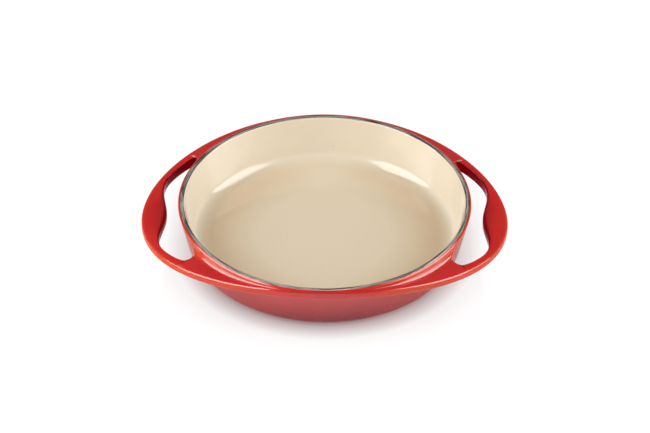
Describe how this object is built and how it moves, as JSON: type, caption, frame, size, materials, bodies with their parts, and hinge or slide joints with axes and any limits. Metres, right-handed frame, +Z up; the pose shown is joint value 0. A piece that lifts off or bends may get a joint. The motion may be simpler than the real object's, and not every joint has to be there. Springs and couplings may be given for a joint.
{
  "type": "tarte tatin dish",
  "caption": "Round shallow cast-iron baking dish with sloping walls, a drooping collar and an open loop handle on each side, enamelled red outside and sand inside.",
  "frame": {"origin": "centre of the foot ring, on the surface that the dish stands on", "axes": "+Z up through the centre of the pan, +X towards one handle, +Y across the handles"},
  "size_m": [0.3388, 0.273, 0.049],
  "materials": {
    "bare_cast_iron": "bare cast iron, ground flat on the rim and the foot ring",
    "red_enamel": "glossy red glass enamel, slightly wavy",
    "sand_enamel": "glossy sand-coloured glass enamel"
  },
  "bodies": {
    "root": {"iron_casting": "bare_cast_iron", "exterior_enamel": "red_enamel", "interior_enamel": "sand_enamel", "underside_enamel": "red_enamel"}
  },
  "joints": []
}
